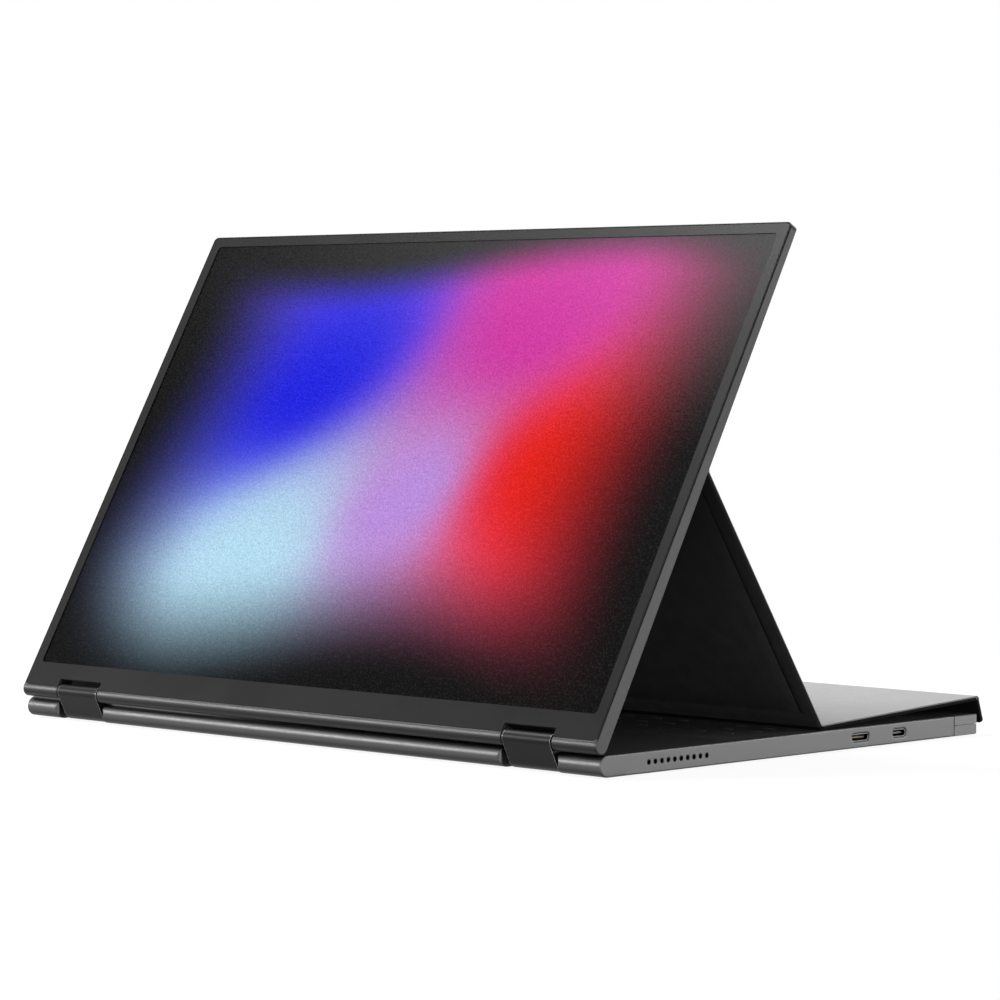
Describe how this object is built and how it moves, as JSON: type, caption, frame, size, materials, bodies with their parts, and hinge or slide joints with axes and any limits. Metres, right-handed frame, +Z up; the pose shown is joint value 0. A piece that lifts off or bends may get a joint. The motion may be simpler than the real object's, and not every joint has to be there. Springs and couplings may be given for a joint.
{
  "type": "folding two-screen portable monitor with stand cover",
  "caption": "Slim folding portable monitor: a lower slab lies flat, an upper screen leans back on double-axis hinges, and a folding cover forms a strut, foot and flap behind it.",
  "frame": {"origin": "on the floor plane, below the middle of the whole object in X and Y", "axes": "+X to the right along the hinge axes, +Y from the hinge edge to the rear, +Z up"},
  "size_m": [0.3567, 0.243, 0.2167],
  "materials": {
    "housing": "anodised grey, fine satin grain",
    "bezel": "black, smooth and matt",
    "display": "display glass, slightly glossy",
    "backlight": "white light guide",
    "rubber": "black rubber",
    "grip": "near-black matt grip pad",
    "dash": "grey raised grip dashes",
    "steel": "bare steel",
    "dark_steel": "dark plated steel",
    "link": "dark anodised metal",
    "board": "circuit board",
    "black_plastic": "black moulded plastic",
    "ribbon": "flexible ribbon",
    "cover_skin": "light grey grained synthetic leather",
    "stiffener": "stiff board core",
    "cover_lining": "black close-woven lining"
  },
  "bodies": {
    "lower_monitor": {"base_shell": "housing", "rear_rail_upper": "housing", "rear_rail_lower": "housing", "base_bezel": "bezel", "base_display": "display", "base_backlight": "backlight", "rubber_feet": "rubber", "deck_pads": "grip", "deck_dashes": "dash", "base_brackets": "dark_steel", "base_pins": "steel", "base_bracket_screws": "steel", "main_board": "board", "board_screws": "steel", "data_socket": "steel", "video_socket": "steel", "speaker_left": "black_plastic", "speaker_right": "black_plastic", "speaker_mesh": "black_plastic", "button_switches": "black_plastic", "base_flex": "ribbon"},
    "hinge_links": {"link_left": "link", "link_right": "link"},
    "upper_monitor": {"screen_shell": "housing", "screen_bezel": "bezel", "screen_display": "display", "screen_backlight": "backlight", "screen_board": "board", "screen_flex": "ribbon", "screen_brackets": "dark_steel", "screen_pins": "steel", "screen_bracket_screws": "steel", "screen_magnets": "steel", "top_skin": "cover_skin", "top_board": "stiffener", "top_magnets": "steel", "top_lining": "cover_lining"},
    "strut_panel": {"strut_skin": "cover_skin", "strut_board": "stiffener", "strut_lining": "cover_lining"},
    "foot_panel": {"foot_skin": "cover_skin", "foot_board": "stiffener", "foot_lining": "cover_lining"},
    "flap_panel": {"flap_skin": "cover_skin", "flap_board": "stiffener", "flap_lining": "cover_lining"},
    "power_key": {"power_button": "housing"},
    "rocker_key": {"menu_rocker": "housing"}
  },
  "joints": [
    {"name": "lower_hinge", "type": "hinge", "parent": "lower_monitor", "child": "hinge_links", "pos_m": [0, -0.11337, 0.00465], "axis": [1, 0, 0], "range_deg": [0, 149.6]},
    {"name": "upper_hinge", "type": "hinge", "parent": "hinge_links", "child": "upper_monitor", "pos_m": [0, -0.11807, 0.01272], "axis": [1, 0, 0], "range_deg": [0, 149.6]},
    {"name": "strut_fold", "type": "hinge", "parent": "upper_monitor", "child": "strut_panel", "pos_m": [0, -0.05416, 0.11742], "axis": [1, 0, 0], "range_deg": [0, 70]},
    {"name": "foot_fold", "type": "hinge", "parent": "strut_panel", "child": "foot_panel", "pos_m": [0, 0.01491, 0.0112], "axis": [1, 0, 0], "range_deg": [0, 120]},
    {"name": "flap_fold", "type": "hinge", "parent": "foot_panel", "child": "flap_panel", "pos_m": [0, 0.11639, 0.01434], "axis": [1, 0, 0], "range_deg": [0, 70]},
    {"name": "power_press", "type": "slide", "parent": "lower_monitor", "child": "power_key", "axis": [1, 0, 0], "range_m": [0, 0.00035], "stiffness_N_per_m": 4000},
    {"name": "rocker_turn", "type": "hinge", "parent": "lower_monitor", "child": "rocker_key", "pos_m": [-0.17425, 0.03799, 0.00465], "axis": [0, 0, 1], "range_deg": [-1.5, 1.5], "stiffness_Nm_per_rad": 0.6}
  ],
  "couplings": [
    {"joint": "upper_hinge", "follows": "lower_hinge", "ratio": 1}
  ]
}
